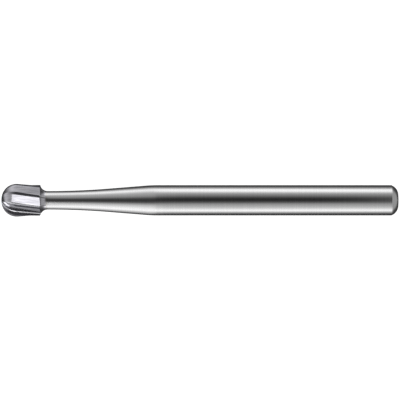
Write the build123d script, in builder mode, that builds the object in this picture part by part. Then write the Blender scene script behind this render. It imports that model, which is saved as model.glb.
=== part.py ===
from build123d import *
from math import cos, pi, radians, sin, sqrt, tan
import os

# Carbide burr for a friction-grip handpiece: a short fluted carbide head, butt-brazed to a turned
# steel shank. The axis of rotation is X. The origin is the middle of the shank's plain end, and the
# cutting tip points along -X. Lengths are in millimetres and angles in degrees.

# Overall
overall_length = 20.9
shank_diameter = 1.6

# Head, before the flutes are ground
head_diameter = 1.8
head_length = 2.04
tip_flat_share = 1 / 15  # of the head's diameter
back_taper_angle = 2.2
back_fillet_radius = 0.4

# Flutes and blades
blade_count = 8
helix_lead = 38.0
rake_angle = 6.0
relief_width = 0.115
relief_angle = 20.0
flute_depth = 0.22
core_taper_angle = 2.5
gullet_radius = 0.05
edge_setback = 0.004

# Neck and joint
neck_diameter = 0.975
joint_setback = 0.325
braze_thickness = 0.03
neck_sweep_radius = 40.0
shoulder_angle = 4.6
shoulder_blend_radius = 8.0
least_flank = 0.05

# Plain end of the shank
end_round_radius = 0.55
end_round_depth = 0.37

# Worked out from the sizes above
head_radius = head_diameter / 2
tip_flat_radius = head_radius * tip_flat_share
neck_radius = neck_diameter / 2
shank_radius = shank_diameter / 2
dome_radius = head_radius - tip_flat_radius
blade_pitch = 360 / blade_count
taper = radians(back_taper_angle)

tip_x = -overall_length
dome_end_x = tip_x + dome_radius * (1 + sin(taper))
dome_end_radius = tip_flat_radius + dome_radius * cos(taper)
dome_sweep = pi / 2 + taper
dome_path = dome_radius * dome_sweep
rim_x = tip_x + head_length
rim_radius = dome_end_radius - (rim_x - dome_end_x) * tan(taper)
core_radius = dome_end_radius - flute_depth
relief_turn = relief_width / head_radius
relief_drop = relief_width * tan(radians(relief_angle))

# The concave back rises from the neck to the rim, or to a flat shoulder where the rim stands higher.
back_rise = min(back_fillet_radius, rim_radius - neck_radius)
back_length = sqrt(back_fillet_radius**2 - (back_fillet_radius - back_rise) ** 2)
neck_x = rim_x + back_length
joint_x = rim_x + joint_setback
shank_start_x = joint_x + braze_thickness

# The neck swells along a long arc into a cone, which is blended into the gripped length. The arc is
# as large as the cone's flank leaves room for.
flank_length = (shank_radius - neck_radius) / sin(radians(shoulder_angle))
tangent_share = tan(radians(shoulder_angle / 2))
sweep_radius = min(neck_sweep_radius, (flank_length - least_flank) / tangent_share - shoulder_blend_radius)
shoulder_x = neck_x + sweep_radius * tangent_share + flank_length * cos(radians(shoulder_angle))
end_round_rise = sqrt(end_round_radius**2 - (end_round_radius - end_round_depth) ** 2)


def blank_outline(path):
    """Where the blank's outline is, at a distance along it from the tip flat's edge: the place along
    the axis, the radius, and how far the outward normal leans away from the tip, in radians."""
    if path < dome_path:
        lean = path / dome_radius
        return tip_x + dome_radius * (1 - cos(lean)), tip_flat_radius + dome_radius * sin(lean), lean
    beyond = path - dome_path
    return dome_end_x + beyond * cos(taper), dome_end_radius - beyond * sin(taper), dome_sweep


def depth_at(path, radius):
    """Over the dome the flute gets shallower with the radius, and behind it with the core, which
    grows towards the neck."""
    if path < dome_path:
        return flute_depth * radius / dome_end_radius
    return radius - core_radius - (path - dome_path) * tan(radians(core_taper_angle))


def under_blank(path, turn, depth):
    """The point at an angle round the axis, counted in radians from +Y towards +Z, that lies this
    deep under the blank's outline."""
    place_x, radius, lean = blank_outline(path)
    outward = Vector(-cos(lean), sin(lean) * cos(turn), sin(lean) * sin(turn))
    return Vector(place_x, radius * cos(turn), radius * sin(turn)) - outward * depth


def flute_section(path):
    """Plane and corner lengths of the flute's cross-section. It runs from the edge of the blade ahead
    down that blade's relief to its heel, on down the back to the gullet, and up the rake face to the
    edge of the blade behind."""
    place_x, radius, lean = blank_outline(path)
    depth = depth_at(path, radius)
    turn = widest_turn + (place_x - dome_end_x) * 2 * pi / helix_lead
    ahead_turn = turn - radians(blade_pitch)
    edge_ahead = under_blank(path, ahead_turn, edge_setback)
    heel = under_blank(path, ahead_turn + relief_turn, relief_drop * min(1, radius / dome_end_radius))
    gullet = under_blank(path, turn + depth * tan(radians(rake_angle)) / radius, depth)
    edge_behind = under_blank(path, turn, edge_setback)
    rake = edge_behind - gullet
    plane = Plane(origin=gullet, x_dir=rake, z_dir=rake.cross(edge_ahead - gullet))
    return plane, rake.length, plane.to_local_coords(heel), plane.to_local_coords(edge_ahead)


# The whole tool is turned and ground as one blank, and the joint is part of its outline.
with BuildPart() as blank:
    with BuildSketch(Plane.XZ):
        with BuildLine():
            Line((tip_x, 0), (tip_x, tip_flat_radius))
            CenterArc((tip_x + dome_radius, tip_flat_radius), dome_radius, 180, -90 - back_taper_angle)
            Line((dome_end_x, dome_end_radius), (rim_x, rim_radius))
            if rim_radius > neck_radius + back_rise:
                Line((rim_x, rim_radius), (rim_x, neck_radius + back_rise))
            RadiusArc((rim_x, neck_radius + back_rise), (neck_x, neck_radius), -back_fillet_radius)
            neck_sweep = CenterArc((neck_x, neck_radius + sweep_radius), sweep_radius, -90, shoulder_angle)
            FilletPolyline(
                neck_sweep @ 1,
                (shoulder_x, shank_radius),
                (-end_round_depth, shank_radius),
                radius=shoulder_blend_radius,
            )
            end_round = RadiusArc(
                (-end_round_depth, shank_radius), (0, shank_radius - end_round_rise), end_round_radius
            )
            Line(end_round @ 1, (0, 0))
            Line((0, 0), (tip_x, 0))
        make_face()
    revolve(axis=Axis.X)

# Stations for the flute along the blank's outline, over the dome, then past the rim as far as the neck
dome_stations = 12
body_stations = 12
body_path = (neck_x - dome_end_x) / cos(taper)
stations = [dome_path * n / dome_stations for n in range(dome_stations + 1)]
stations += [dome_path + body_path * n / body_stations for n in range(1, body_stations + 1)]

# Two blades stand evenly on either side of -Z at the widest place, so that the burr lies on both.
widest_turn = radians(-90 + blade_pitch / 2)

# How far the cutter stands out of the blank, as a share of the rake face and of the relief
rake_overshoot = 2.2
relief_overshoot = 4.0

with BuildPart() as flute_cutter:
    for path in stations:
        plane, rake_length, heel, edge_ahead = flute_section(path)
        rake_end = (rake_length * rake_overshoot, 0)
        relief_end = heel + (edge_ahead - heel) * relief_overshoot
        gullet_here = gullet_radius * min(1, blank_outline(path)[1] / head_radius)
        with BuildSketch(plane):
            with BuildLine():
                FilletPolyline(rake_end, (0, 0), (heel.X, heel.Y), radius=gullet_here)
                Polyline((heel.X, heel.Y), (relief_end.X, relief_end.Y), rake_end)
            make_face()
    loft()

with BuildPart() as carbide_head:
    add(blank.part)
    split(bisect_by=Plane.YZ.offset(joint_x), keep=Keep.BOTTOM)
    flutes = [flute_cutter.part.rotate(Axis.X, blade_pitch * n) for n in range(blade_count)]
    add(flutes, mode=Mode.SUBTRACT)
carbide_head.part.label = "carbide_head"

with BuildPart() as braze_joint:
    add(blank.part)
    split(bisect_by=Plane.YZ.offset(joint_x), keep=Keep.TOP)
    split(bisect_by=Plane.YZ.offset(shank_start_x), keep=Keep.BOTTOM)
braze_joint.part.label = "braze_joint"

with BuildPart() as steel_shank:
    add(blank.part)
    split(bisect_by=Plane.YZ.offset(shank_start_x), keep=Keep.TOP)
steel_shank.part.label = "steel_shank"

os.makedirs("parts", exist_ok=True)
export_step(carbide_head.part, "parts/carbide_head.step")
export_step(braze_joint.part, "parts/braze_joint.step")
export_step(steel_shank.part, "parts/steel_shank.step")
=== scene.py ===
import math

import bmesh
import bpy
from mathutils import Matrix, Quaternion, Vector


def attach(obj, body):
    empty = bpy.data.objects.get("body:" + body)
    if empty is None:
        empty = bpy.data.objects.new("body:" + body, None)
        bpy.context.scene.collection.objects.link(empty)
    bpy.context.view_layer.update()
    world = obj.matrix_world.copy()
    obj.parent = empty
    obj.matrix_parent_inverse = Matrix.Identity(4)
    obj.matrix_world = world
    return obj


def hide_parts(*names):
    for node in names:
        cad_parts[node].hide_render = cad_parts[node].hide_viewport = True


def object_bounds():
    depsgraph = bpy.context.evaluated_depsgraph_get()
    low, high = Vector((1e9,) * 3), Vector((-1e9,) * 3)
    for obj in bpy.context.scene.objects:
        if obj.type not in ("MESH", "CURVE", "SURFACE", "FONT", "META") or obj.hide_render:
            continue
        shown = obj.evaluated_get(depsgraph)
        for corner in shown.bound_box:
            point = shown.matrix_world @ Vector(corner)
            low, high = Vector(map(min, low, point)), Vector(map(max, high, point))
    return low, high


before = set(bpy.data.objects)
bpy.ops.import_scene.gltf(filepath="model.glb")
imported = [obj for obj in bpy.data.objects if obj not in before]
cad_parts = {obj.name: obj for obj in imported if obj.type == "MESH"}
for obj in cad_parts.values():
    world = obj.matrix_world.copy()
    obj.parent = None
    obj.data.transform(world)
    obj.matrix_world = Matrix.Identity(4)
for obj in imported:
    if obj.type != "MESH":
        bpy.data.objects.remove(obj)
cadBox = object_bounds()
mm = 0.001  # sizes below are in millimetres, the scene is in metres
weld = 1e-7  # metres: points nearer than this become one


def toLinear(hexColour):
    # sRGB hex to the linear values that the shaders take
    out = []
    for part in (hexColour[1:3], hexColour[3:5], hexColour[5:7]):
        c = int(part, 16) / 255
        out.append(c / 12.92 if c <= 0.04045 else ((c + 0.055) / 1.055) ** 2.4)
    return (*out, 1.0)


def addNode(tree, kind, inputs=None, **settings):
    # one node, with its settings, and its inputs as values or as links
    node = tree.nodes.new(kind)
    for name, value in settings.items():
        setattr(node, name, value)
    for socket, value in (inputs or {}).items():
        if isinstance(value, bpy.types.NodeSocket):
            tree.links.new(value, node.inputs[socket])
        else:
            node.inputs[socket].default_value = value
    return node


def fillRamp(ramp, stops):
    # stops as (place, colour) in order, where the colour is a hex value or a plain brightness
    while len(ramp.elements) > 1:
        ramp.elements.remove(ramp.elements[-1])
    for n, (place, colour) in enumerate(stops):
        stop = ramp.elements[0] if n == 0 else ramp.elements.new(place)
        stop.position = place
        stop.color = toLinear(colour) if isinstance(colour, str) else (colour, colour, colour, 1)


def newMaterial(name):
    material = bpy.data.materials.new(name)
    material.use_nodes = True
    tree = material.node_tree
    return material, tree, tree.nodes["Principled BSDF"]


def toPiece(bm, name, node, material, sharpAngle):
    # the finished bmesh becomes a piece that stands for its CAD node
    bmesh.ops.recalc_face_normals(bm, faces=bm.faces)
    mesh = bpy.data.meshes.new(name)
    bm.to_mesh(mesh)
    bm.free()
    mesh.shade_smooth()
    mesh.set_sharp_from_angle(angle=math.radians(sharpAngle))
    mesh.materials.append(material)
    piece = bpy.data.objects.new(name, mesh)
    bpy.context.scene.collection.objects.link(piece)
    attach(piece, "root")
    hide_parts(node)


# the camera looks down on the burr as it lies, a few degrees off the vertical
shot = {
    "lens": 300.0,
    "sensor": 36.0,
    "fieldWidth": 21.065,  # mm across the frame at the burr's axis
    "centreX": -10.44,
    "centreY": 0.016,
    "lean": 6.5,  # degrees, towards -Y
    "clip": (0.01, 5.0),  # metres
}


def makeCamera():
    data = bpy.data.cameras.new("camera")
    data.lens = shot["lens"]
    data.sensor_width = shot["sensor"]
    data.clip_start, data.clip_end = shot["clip"]
    camera = bpy.data.objects.new("camera", data)
    height = shot["fieldWidth"] * shot["lens"] / shot["sensor"]
    lean = Quaternion((1, 0, 0), math.radians(shot["lean"]))
    camera.rotation_mode = "QUATERNION"
    camera.rotation_quaternion = lean
    camera.location = lean @ Vector((shot["centreX"], shot["centreY"], height)) * mm
    bpy.context.scene.collection.objects.link(camera)
    bpy.context.scene.camera = camera


# sizes that the head, the joint and the shank share
burr = {
    "tipX": -20.9,
    "rimX": -18.86,
    "jointX": -18.535,
    "shankStartX": -18.505,
    "neckRadius": 0.4875,
    "backRadius": 0.4,  # the concave back of the head
    "backLength": 0.39862,
}
neckX = burr["rimX"] + burr["backLength"]


def backRadiusAt(x):
    # how far the concave back behind the rim is from the axis
    drop = math.sqrt(burr["backRadius"] ** 2 - (neckX - x) ** 2)
    return burr["neckRadius"] + burr["backRadius"] - drop


head = {
    "radius": 0.9,
    "tipFlat": 0.06,
    "taper": 2.2,
    "blades": 8,
    "lead": 38.0,
    "rake": 6.0,
    "reliefWidth": 0.115,
    "relief": 20.0,
    "fluteDepth": 0.22,
    "coreTaper": 2.5,
    "gulletRadius": 0.05,
    "edgeSetback": 0.004,
    "domeRows": 30,
    "bodyRows": 20,
    "backRows": 12,
    "reliefColumns": 4,
    "backColumns": 10,
    "gulletColumns": 6,
    "rakeColumns": 5,
    "sharpAngle": 25,
}
domeRadius = head["radius"] - head["tipFlat"]
taper = math.radians(head["taper"])
domePath = domeRadius * (math.pi / 2 + taper)
widestX = burr["tipX"] + domeRadius * (1 + math.sin(taper))
widestRadius = head["tipFlat"] + domeRadius * math.cos(taper)
pitch = 2 * math.pi / head["blades"]
restingTurn = -math.pi / 2 + pitch / 2  # two blades stand evenly on the floor


def blankOutline(path):
    # place along the axis, radius and lean of the blank at a distance along its outline
    if path < domePath:
        lean = path / domeRadius
        x = burr["tipX"] + domeRadius * (1 - math.cos(lean))
        return x, head["tipFlat"] + domeRadius * math.sin(lean), lean
    beyond = path - domePath
    radius = widestRadius - beyond * math.sin(taper)
    return widestX + beyond * math.cos(taper), radius, domePath / domeRadius


def underBlank(path, turn, depth):
    # the point at this angle round the axis that lies this deep under the blank
    x, radius, lean = blankOutline(path)
    aroundY, aroundZ = math.cos(turn), math.sin(turn)
    outward = Vector((-math.cos(lean), math.sin(lean) * aroundY, math.sin(lean) * aroundZ))
    return Vector((x, radius * aroundY, radius * aroundZ)) - outward * depth


def bladeRow(path):
    # across one blade: its relief, its back down to the gullet, and the rake of the next blade
    x, radius, _ = blankOutline(path)
    turn = restingTurn + (x - widestX) * 2 * math.pi / head["lead"]
    if path < domePath:
        depth = head["fluteDepth"] * radius / widestRadius
    else:
        coreRise = (path - domePath) * math.tan(math.radians(head["coreTaper"]))
        depth = radius - widestRadius + head["fluteDepth"] - coreRise
    drop = head["reliefWidth"] * math.tan(math.radians(head["relief"]))
    gulletTurn = turn + pitch + depth * math.tan(math.radians(head["rake"])) / radius
    edge = underBlank(path, turn, head["edgeSetback"])
    heel = underBlank(path, turn + head["reliefWidth"] / head["radius"],
                      drop * min(1, radius / widestRadius))
    gullet = underBlank(path, gulletTurn, depth)
    nextEdge = underBlank(path, turn + pitch, head["edgeSetback"])
    toHeel = (heel - gullet).normalized()
    toEdge = (nextEdge - gullet).normalized()
    half = toHeel.angle(toEdge) / 2
    rounding = head["gulletRadius"] * min(1, radius / head["radius"])
    backEnd = gullet + toHeel * rounding / math.tan(half)
    rakeStart = gullet + toEdge * rounding / math.tan(half)
    centre = gullet + (toHeel + toEdge).normalized() * rounding / math.sin(half)
    axis = (backEnd - centre).cross(rakeStart - centre).normalized()
    row = [edge.lerp(heel, n / head["reliefColumns"]) for n in range(head["reliefColumns"])]
    row += [heel.lerp(backEnd, n / head["backColumns"]) for n in range(head["backColumns"])]
    for n in range(head["gulletColumns"]):
        swing = Quaternion(axis, (math.pi - 2 * half) * n / head["gulletColumns"])
        row.append(centre + swing @ (backEnd - centre))
    rakeSteps = head["rakeColumns"]
    return row + [rakeStart.lerp(nextEdge, n / rakeSteps) for n in range(rakeSteps + 1)]


def creasePath(column):
    # where this column of the flute runs out on the concave back
    low = domePath + (burr["rimX"] - widestX) / math.cos(taper)
    high = domePath + (neckX - widestX) / math.cos(taper)
    for _ in range(40):  # halves the range until nothing of it is left
        middle = (low + high) / 2
        point = bladeRow(middle)[column]
        backRadius = backRadiusAt(min(max(point.x, burr["rimX"]), neckX))
        if math.hypot(point.y, point.z) < backRadius:
            low = middle
        else:
            high = middle
    return low


def backPoint(crease, share):
    # along the concave back, from the crease to the joint
    first = math.asin((neckX - crease.x) / burr["backRadius"])
    last = math.asin((neckX - burr["jointX"]) / burr["backRadius"])
    swing = first + (last - first) * share
    x = neckX - burr["backRadius"] * math.sin(swing)
    radius = burr["neckRadius"] + burr["backRadius"] * (1 - math.cos(swing))
    turn = math.atan2(crease.z, crease.y)
    return Vector((x, radius * math.cos(turn), radius * math.sin(turn)))


def makeHead(material):
    columns = sum(head[part + "Columns"] for part in ("relief", "back", "gullet", "rake"))
    rows = [[Vector((burr["tipX"], 0, 0))] * (columns + 1)]
    rows.append([Vector((burr["tipX"], p.y, p.z)) for p in bladeRow(0)])
    rows += [bladeRow(domePath * n / head["domeRows"]) for n in range(head["domeRows"])]
    creases = [creasePath(c) for c in range(columns + 1)]
    for n in range(head["bodyRows"] + 1):
        share = n / head["bodyRows"]
        rows.append([bladeRow(domePath + (end - domePath) * share)[c]
                     for c, end in enumerate(creases)])
    rim = rows[-1]
    for n in range(head["backRows"]):
        rows.append([backPoint(p, (n + 1) / head["backRows"]) for p in rim])
    rows.append([Vector((burr["jointX"], 0, 0))] * (columns + 1))

    bm = bmesh.new()
    bm.loops.layers.uv.new("UVMap")  # U runs across the blade, V from the tip to the joint
    bmesh.ops.create_grid(bm, x_segments=columns, y_segments=len(rows) - 1, size=0.5,
                          calc_uvs=True)
    for vert in bm.verts:
        column = round((vert.co.x + 0.5) * columns)
        row = round((vert.co.y + 0.5) * (len(rows) - 1))
        vert.co = rows[row][column] * mm
    bmesh.ops.spin(bm, geom=bm.verts[:] + bm.edges[:] + bm.faces[:], axis=(1, 0, 0),
                   cent=(0, 0, 0), angle=2 * math.pi - pitch, steps=head["blades"] - 1,
                   use_duplicate=True)
    bmesh.ops.remove_doubles(bm, verts=bm.verts, dist=weld)
    toPiece(bm, "carbideHead", "carbide_head", material, head["sharpAngle"])


# U is 0 at a blade's edge, 0.16 at its heel, 0.56 to 0.8 in the gullet, 1 at the next edge;
# V is 0 at the tip, 0.49 at the widest place, 0.8 at the rim and 1 at the joint
carbide = {
    "streaks": [(0.3, "#a9a8af"), (0.7, "#d3d2d8")],
    "streakScale": (16.0, 5.0, 1.0),
    # this dark colour is painted shade on the duller relief and along the line where the flutes
    # run out
    "dullAndShaded": "#57575c",
    # this light colour is a painted highlight in the gullets and on the concave back
    "paintedHighlight": "#efeff2",
    "reliefEndU": (0.15, 0.17),
    "dullAndShadedFromV": (0.3, 0.46),
    # across the blade, where the painted highlight lies in the gullet
    "gulletU": [(0.52, 0.0), (0.6, 1.0), (0.8, 1.0), (0.86, 0.0)],
    # a thin line of painted shade, also rougher, where the flutes run out on the concave back
    "shadedRunOutV": [(0.796, 0.0), (0.802, 1.0), (0.816, 1.0), (0.828, 0.0)],
    "backV": (0.82, 0.84),
    "backHighlightShare": 0.35,  # how much of the painted highlight the concave back has
    "roughness": (0.18, 0.65),  # fine and dull
}


def groundCarbide():
    # Cemented tungsten carbide, diamond ground: a hard violet-grey metal. The flutes are finished
    # along their length, which streaks them. The gullets and the concave back get a painted
    # highlight, a lighter colour. The narrow relief behind each edge is left duller, with its
    # colour darkened by painted shade, and so is a thin line where the flutes run out on the
    # back.
    material, tree, shader = newMaterial("groundCarbide")
    surface = addNode(tree, "ShaderNodeUVMap", uv_map="UVMap").outputs["UV"]
    split = addNode(tree, "ShaderNodeSeparateXYZ", {"Vector": surface})
    across, along = split.outputs["X"], split.outputs["Y"]
    # streaks lie about 0.05 mm apart across the flute and run on for some tenths of a millimetre
    stretched = addNode(tree, "ShaderNodeMapping",
                        {"Vector": surface, "Scale": carbide["streakScale"]})
    streaks = addNode(tree, "ShaderNodeTexNoise",
                      {"Vector": stretched.outputs["Vector"], "Scale": 1.0, "Detail": 4.0})
    tone = addNode(tree, "ShaderNodeValToRGB", {"Fac": streaks.outputs["Fac"]})
    fillRamp(tone.color_ramp, carbide["streaks"])

    # duller, with painted shade darkening the colour: the relief, once past the dome's tip, and
    # the line where the flutes run out
    reliefStart, reliefEnd = carbide["reliefEndU"]
    relief = addNode(tree, "ShaderNodeMapRange",
                     {"Value": across, "From Min": reliefStart, "From Max": reliefEnd,
                      "To Min": 1.0, "To Max": 0.0})
    dullAndShadedStart, dullAndShadedFull = carbide["dullAndShadedFromV"]
    pastTip = addNode(tree, "ShaderNodeMapRange",
                      {"Value": along, "From Min": dullAndShadedStart, "From Max": dullAndShadedFull})
    shadedDullRelief = addNode(tree, "ShaderNodeMath",
                         {0: relief.outputs["Result"], 1: pastTip.outputs["Result"]},
                         operation="MULTIPLY")
    shadedRunOut = addNode(tree, "ShaderNodeValToRGB", {"Fac": along})
    fillRamp(shadedRunOut.color_ramp, carbide["shadedRunOutV"])
    dullAndShaded = addNode(tree, "ShaderNodeMath",
                   {0: shadedDullRelief.outputs[0], 1: shadedRunOut.outputs["Color"]},
                   operation="MAXIMUM")

    # painted highlight, a lighter colour: the gullets, and in part the concave back
    gullet = addNode(tree, "ShaderNodeValToRGB", {"Fac": across})
    fillRamp(gullet.color_ramp, carbide["gulletU"])
    backStart, backFull = carbide["backV"]
    back = addNode(tree, "ShaderNodeMapRange",
                   {"Value": along, "From Min": backStart, "From Max": backFull,
                    "To Max": carbide["backHighlightShare"]})
    paintedHighlight = addNode(tree, "ShaderNodeMath",
                   {0: gullet.outputs["Color"], 1: back.outputs["Result"]},
                   operation="MAXIMUM")

    colour = tone.outputs["Color"]
    # painted shade darkens the streaked colour, then the painted highlight lightens it
    for share, shade in ((dullAndShaded, carbide["dullAndShaded"]), (paintedHighlight, carbide["paintedHighlight"])):
        mix = addNode(tree, "ShaderNodeMix",
                      {"Factor": share.outputs[0], "A": colour, "B": toLinear(shade)},
                      data_type="RGBA")
        colour = mix.outputs["Result"]
    tree.links.new(colour, shader.inputs["Base Color"])
    fineRoughness, dullRoughness = carbide["roughness"]
    roughness = addNode(tree, "ShaderNodeMapRange",
                        {"Value": dullAndShaded.outputs[0], "To Min": fineRoughness,
                         "To Max": dullRoughness})
    tree.links.new(roughness.outputs["Result"], shader.inputs["Roughness"])
    shader.inputs["Metallic"].default_value = 1.0
    return material


def finishMetal(name, metal):
    # one fine noise in the metal's own colours, which also varies its gloss
    material, tree, shader = newMaterial(name)
    coords = addNode(tree, "ShaderNodeTexCoord")
    scaled = addNode(tree, "ShaderNodeMapping",
                     {"Vector": coords.outputs["Object"], "Scale": metal["scale"]})
    pattern = addNode(tree, "ShaderNodeTexNoise",
                      {"Vector": scaled.outputs["Vector"], "Scale": 1.0,
                       "Detail": metal["detail"]})
    tone = addNode(tree, "ShaderNodeValToRGB", {"Fac": pattern.outputs["Fac"]})
    fillRamp(tone.color_ramp, metal["tones"])
    tree.links.new(tone.outputs["Color"], shader.inputs["Base Color"])
    low, high = (place for place, _ in metal["tones"])
    lowRoughness, highRoughness = metal["roughness"]
    gloss = addNode(tree, "ShaderNodeMapRange",
                    {"Value": pattern.outputs["Fac"], "From Min": low, "From Max": high,
                     "To Min": lowRoughness, "To Max": highRoughness})
    tree.links.new(gloss.outputs["Result"], shader.inputs["Roughness"])
    shader.inputs["Metallic"].default_value = 1.0
    return material


def lineTo(bm, last, x, radius):
    # draws the profile on with a straight run
    new = bmesh.ops.extrude_vert_indiv(bm, verts=[last])["verts"][0]
    new.co = Vector((x, 0, radius)) * mm
    return new


def arcTo(bm, last, centreX, centreRadius, sweep, steps):
    # draws the profile on with an arc round a centre, in degrees
    made = bmesh.ops.spin(bm, geom=[last], axis=(0, 1, 0),
                          cent=Vector((centreX, 0, centreRadius)) * mm,
                          angle=math.radians(sweep), steps=steps)
    return next(g for g in made["geom_last"] if isinstance(g, bmesh.types.BMVert))


def spinProfile(bm, steps):
    bmesh.ops.spin(bm, geom=bm.verts[:] + bm.edges[:], axis=(1, 0, 0), cent=(0, 0, 0),
                   angle=2 * math.pi, steps=steps, use_merge=True)
    bmesh.ops.remove_doubles(bm, verts=bm.verts, dist=weld)


braze = {
    "aroundSteps": 160,
    "sharpAngle": 30,
    # the mottles are a few hundredths of a millimetre across, drawn at 0.1 mm so that they show
    "scale": (10000.0, 10000.0, 10000.0),
    "detail": 2.0,
    "tones": [(0.35, "#c8c3b8"), (0.65, "#dedbd3")],
    "roughness": (0.34, 0.26),
}


def silverBraze():
    # Silver brazing alloy, ground flush with the joint: a thin, slightly warm ring, mottled where
    # its silver and copper parted as it set
    return finishMetal("silverBraze", braze)


def makeBraze(material):
    bm = bmesh.new()
    last = bm.verts.new(Vector((burr["jointX"], 0, 0)) * mm)
    last = lineTo(bm, last, burr["jointX"], backRadiusAt(burr["jointX"]))
    last = lineTo(bm, last, burr["shankStartX"], backRadiusAt(burr["shankStartX"]))
    lineTo(bm, last, burr["shankStartX"], 0)
    spinProfile(bm, braze["aroundSteps"])
    toPiece(bm, "brazeRing", "braze_joint", material, braze["sharpAngle"])


shank = {
    "radius": 0.8,
    "sweepRadius": 40.0,
    "coneAngle": 4.6,
    "blendRadius": 8.0,
    "endRound": 0.55,
    "endDepth": 0.37,
    "backSteps": 3,
    "sweepSteps": 24,
    "blendSteps": 8,
    "endSteps": 16,
    "aroundSteps": 160,
    "sharpAngle": 30,
    # the wheel's lines run round the shank, drawn 0.05 mm apart, coarser than they are, to show
    "scale": (20000.0, 300.0, 300.0),
    "detail": 3.0,
    "tones": [(0.3, "#d0d0d1"), (0.7, "#d7d7d7")],
    "roughness": (0.12, 0.16),
}


def polishedSteel():
    # Hardened stainless steel, centreless ground and polished: a bright neutral grey mirror
    return finishMetal("polishedSteel", shank)


def makeShank(material):
    cone = math.radians(shank["coneAngle"])
    flank = (shank["radius"] - burr["neckRadius"]) / math.sin(cone)
    shoulderX = neckX + shank["sweepRadius"] * math.tan(cone / 2) + flank * math.cos(cone)
    blendReach = shank["blendRadius"] * math.tan(cone / 2)
    bm = bmesh.new()
    last = bm.verts.new(Vector((burr["shankStartX"], 0, 0)) * mm)
    last = lineTo(bm, last, burr["shankStartX"], backRadiusAt(burr["shankStartX"]))
    backLeft = math.degrees(math.asin((neckX - burr["shankStartX"]) / burr["backRadius"]))
    last = arcTo(bm, last, neckX, burr["neckRadius"] + burr["backRadius"], -backLeft,
                 shank["backSteps"])
    last = arcTo(bm, last, neckX, burr["neckRadius"] + shank["sweepRadius"],
                 -shank["coneAngle"], shank["sweepSteps"])
    last = lineTo(bm, last, shoulderX - blendReach * math.cos(cone),
                  shank["radius"] - blendReach * math.sin(cone))
    last = arcTo(bm, last, shoulderX + blendReach, shank["radius"] - shank["blendRadius"],
                 shank["coneAngle"], shank["blendSteps"])
    last = lineTo(bm, last, -shank["endDepth"], shank["radius"])

    # the rounded end: an arc through the end of the side and the edge of a small flat
    rise = math.sqrt(shank["endRound"] ** 2 - (shank["endRound"] - shank["endDepth"]) ** 2)
    first = Vector((-shank["endDepth"], shank["radius"]))
    second = Vector((0, shank["radius"] - rise))
    chord = second - first
    inward = Vector((chord.y, -chord.x)).normalized()
    reach = math.sqrt(shank["endRound"] ** 2 - (chord.length / 2) ** 2)
    centre = (first + second) / 2 + inward * reach
    sweep = math.degrees((first - centre).angle(second - centre))
    last = arcTo(bm, last, centre.x, centre.y, sweep, shank["endSteps"])
    lineTo(bm, last, 0, 0)
    spinProfile(bm, shank["aroundSteps"])
    toPiece(bm, "steelShank", "steel_shank", material, shank["sharpAngle"])


floorLook = {
    "half": 0.4,  # metres
    "colour": "#c8c8c8",
    "roughness": 0.9,
    "glow": 0.9,  # lit from below, as on a light table
}


def makeFloor():
    bm = bmesh.new()
    bmesh.ops.create_grid(bm, x_segments=1, y_segments=1, size=floorLook["half"])
    bmesh.ops.translate(bm, verts=bm.verts, vec=(0, 0, cadBox[0].z))
    mesh = bpy.data.meshes.new("floor")
    bm.to_mesh(mesh)
    bm.free()
    material, _, shader = newMaterial("paleFloor")
    shader.inputs["Base Color"].default_value = toLinear(floorLook["colour"])
    shader.inputs["Roughness"].default_value = floorLook["roughness"]
    shader.inputs["Emission Color"].default_value = (1, 1, 1, 1)
    shader.inputs["Emission Strength"].default_value = floorLook["glow"]
    mesh.materials.append(material)
    floor = bpy.data.objects.new("floor", mesh)
    bpy.context.scene.collection.objects.link(floor)
    floor.visible_glossy = False


# brightness of the light tent: on its sides by degrees from straight up, towards +Y, and on its
# end walls by height, from -1 straight down to 1 straight up
tent = {
    "besideShank": [
        (-140, 0.06), (-122, 0.13), (-107, 0.55), (-86, 1.5), (-72, 1.15), (-60, 0.8),
        (-45, 0.58), (-30, 0.42), (-17, 0.15), (-5, 0.04), (10, 0.022), (22, 0.085),
        (38, 0.27), (52, 0.46), (62, 0.74), (72, 1.28), (88, 1.5), (102, 0.72),
        (116, 0.27), (132, 0.07)],
    "nearHead": [
        (-145, 0.06), (-132, 0.2), (-122, 0.5), (-107, 0.9), (-88, 1.5), (-72, 1.35),
        (-60, 1.12), (-50, 0.9), (-40, 0.7), (-30, 0.42), (-18, 0.12), (-5, 0.045),
        (10, 0.06), (20, 0.16), (30, 0.33), (40, 0.43), (60, 0.62), (72, 1.0),
        (86, 1.4), (102, 0.85), (116, 0.28), (132, 0.07)],
    "buttWall": [(-0.9, 0.05), (-0.64, 0.1), (-0.4, 0.36), (-0.2, 0.43), (1.0, 0.43)],
    "tipWall": [
        (-0.6, 0.06), (-0.4, 0.14), (-0.18, 0.7), (0.0, 0.9), (0.15, 0.72), (0.36, 0.5),
        (1.0, 0.46)],
    "headFrom": (-0.006, -0.05),  # along X, where the shank's part goes over to the head's
    "endsFrom": (0.3, 0.75),  # along X either way, where the sides go over to the end walls
    "sideDrop": -0.45,  # how much lower the end walls stand at their sides
    "lampTowards": (-0.67, -0.56, -0.49),  # a soft lamp low before the tip, where blades meet
    "lampEdge": (0.955, 0.975),
    "lampGlow": 2.4,
}


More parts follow.
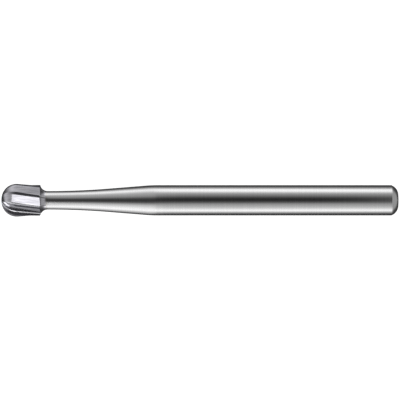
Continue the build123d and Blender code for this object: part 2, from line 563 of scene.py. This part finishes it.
def makeLight():
    # a light tent: bright side walls along the burr, a dark opening above for the lens
    world = bpy.data.worlds.new("lightTent")
    bpy.context.scene.world = world
    world.use_nodes = True
    tree = world.node_tree
    tree.nodes.clear()
    coords = addNode(tree, "ShaderNodeTexCoord")
    # the tent leans with the camera
    turned = addNode(tree, "ShaderNodeMapping",
                     {"Vector": coords.outputs["Generated"],
                      "Rotation": (-math.radians(shot["lean"]), 0, 0)})
    split = addNode(tree, "ShaderNodeSeparateXYZ", {"Vector": turned.outputs["Vector"]})
    along, sideways, upwards = split.outputs["X"], split.outputs["Y"], split.outputs["Z"]
    around = addNode(tree, "ShaderNodeMath", {0: sideways, 1: upwards}, operation="ARCTAN2")
    aroundShare = addNode(tree, "ShaderNodeMapRange",
                          {"Value": around.outputs[0], "From Min": -math.pi,
                           "From Max": math.pi})
    outwards = addNode(tree, "ShaderNodeMath", {0: sideways}, operation="ABSOLUTE")
    lowered = addNode(tree, "ShaderNodeMath",
                      {0: outwards.outputs[0], 1: tent["sideDrop"], 2: upwards},
                      operation="MULTIPLY_ADD")
    height = addNode(tree, "ShaderNodeMapRange",
                     {"Value": lowered.outputs[0], "From Min": -1.0, "From Max": 1.0})

    headStart, headFull = tent["headFrom"]
    towardsHead = addNode(tree, "ShaderNodeMapRange",
                          {"Value": along, "From Min": headStart, "From Max": headFull})
    parts = []  # the sides, then the end walls
    for share, span, wallNames in ((aroundShare, 360, ("besideShank", "nearHead")),
                                   (height, 2, ("buttWall", "tipWall"))):
        walls = []
        for name in wallNames:
            wall = addNode(tree, "ShaderNodeValToRGB", {"Fac": share.outputs["Result"]})
            fillRamp(wall.color_ramp, [(0.5 + at / span, glow) for at, glow in tent[name]])
            walls.append(wall.outputs["Color"])
        both = addNode(tree, "ShaderNodeMix",
                       {"Factor": towardsHead.outputs["Result"], "A": walls[0],
                        "B": walls[1]}, data_type="RGBA")
        parts.append(both.outputs["Result"])

    endsStart, endsFull = tent["endsFrom"]
    eitherWay = addNode(tree, "ShaderNodeMath", {0: along}, operation="ABSOLUTE")
    endShare = addNode(tree, "ShaderNodeMapRange",
                       {"Value": eitherWay.outputs[0], "From Min": endsStart,
                        "From Max": endsFull}, interpolation_type="SMOOTHSTEP")
    tone = addNode(tree, "ShaderNodeMix",
                   {"Factor": endShare.outputs["Result"], "A": parts[0], "B": parts[1]},
                   data_type="RGBA")
    lamp = addNode(tree, "ShaderNodeVectorMath",
                   {0: turned.outputs["Vector"], 1: tent["lampTowards"]},
                   operation="DOT_PRODUCT")
    lampStart, lampFull = tent["lampEdge"]
    lampShare = addNode(tree, "ShaderNodeMapRange",
                        {"Value": lamp.outputs["Value"], "From Min": lampStart,
                         "From Max": lampFull})
    lampGlow = tent["lampGlow"]
    lit = addNode(tree, "ShaderNodeMix",
                  {"Factor": lampShare.outputs["Result"], "A": tone.outputs["Result"],
                   "B": (lampGlow, lampGlow, lampGlow, 1)}, data_type="RGBA")

    # the camera itself sees plain white past the floor
    seen = addNode(tree, "ShaderNodeLightPath")
    tentLight = addNode(tree, "ShaderNodeBackground", {"Color": lit.outputs["Result"]})
    backdrop = addNode(tree, "ShaderNodeBackground", {"Color": (1, 1, 1, 1)})
    mix = addNode(tree, "ShaderNodeMixShader",
                  {0: seen.outputs["Is Camera Ray"], 1: tentLight.outputs[0],
                   2: backdrop.outputs[0]})
    addNode(tree, "ShaderNodeOutputWorld", {"Surface": mix.outputs[0]})


# a small soft panel beside the head, which whitens the flutes that face it
panelLight = {
    "x": -24.2,
    "reach": 12.0,  # mm from the axis
    "angle": 38.0,  # degrees off the camera's line, towards -Y
    "size": (9.6, 6.0),
    "power": 0.00024,  # watts
}


def makePanel():
    data = bpy.data.lights.new("headPanel", "AREA")
    data.shape = "RECTANGLE"
    data.size = panelLight["size"][0] * mm
    data.size_y = panelLight["size"][1] * mm
    data.energy = panelLight["power"]
    panel = bpy.data.objects.new("headPanel", data)
    bpy.context.scene.collection.objects.link(panel)
    around = math.radians(shot["lean"] + panelLight["angle"])
    away = Vector((0, -math.sin(around), math.cos(around)))
    panel.location = (Vector((panelLight["x"], 0, 0)) + away * panelLight["reach"]) * mm
    panel.rotation_mode = "QUATERNION"
    panel.rotation_quaternion = Quaternion((1, 0, 0), around)
    panel.visible_camera = False


makeCamera()
print("camera set")
makeHead(groundCarbide())
print("head made")
makeBraze(silverBraze())
makeShank(polishedSteel())
print("braze ring and shank made")
makeFloor()
makeLight()
makePanel()
bpy.context.scene.view_settings.view_transform = "Standard"
print("floor and light made")
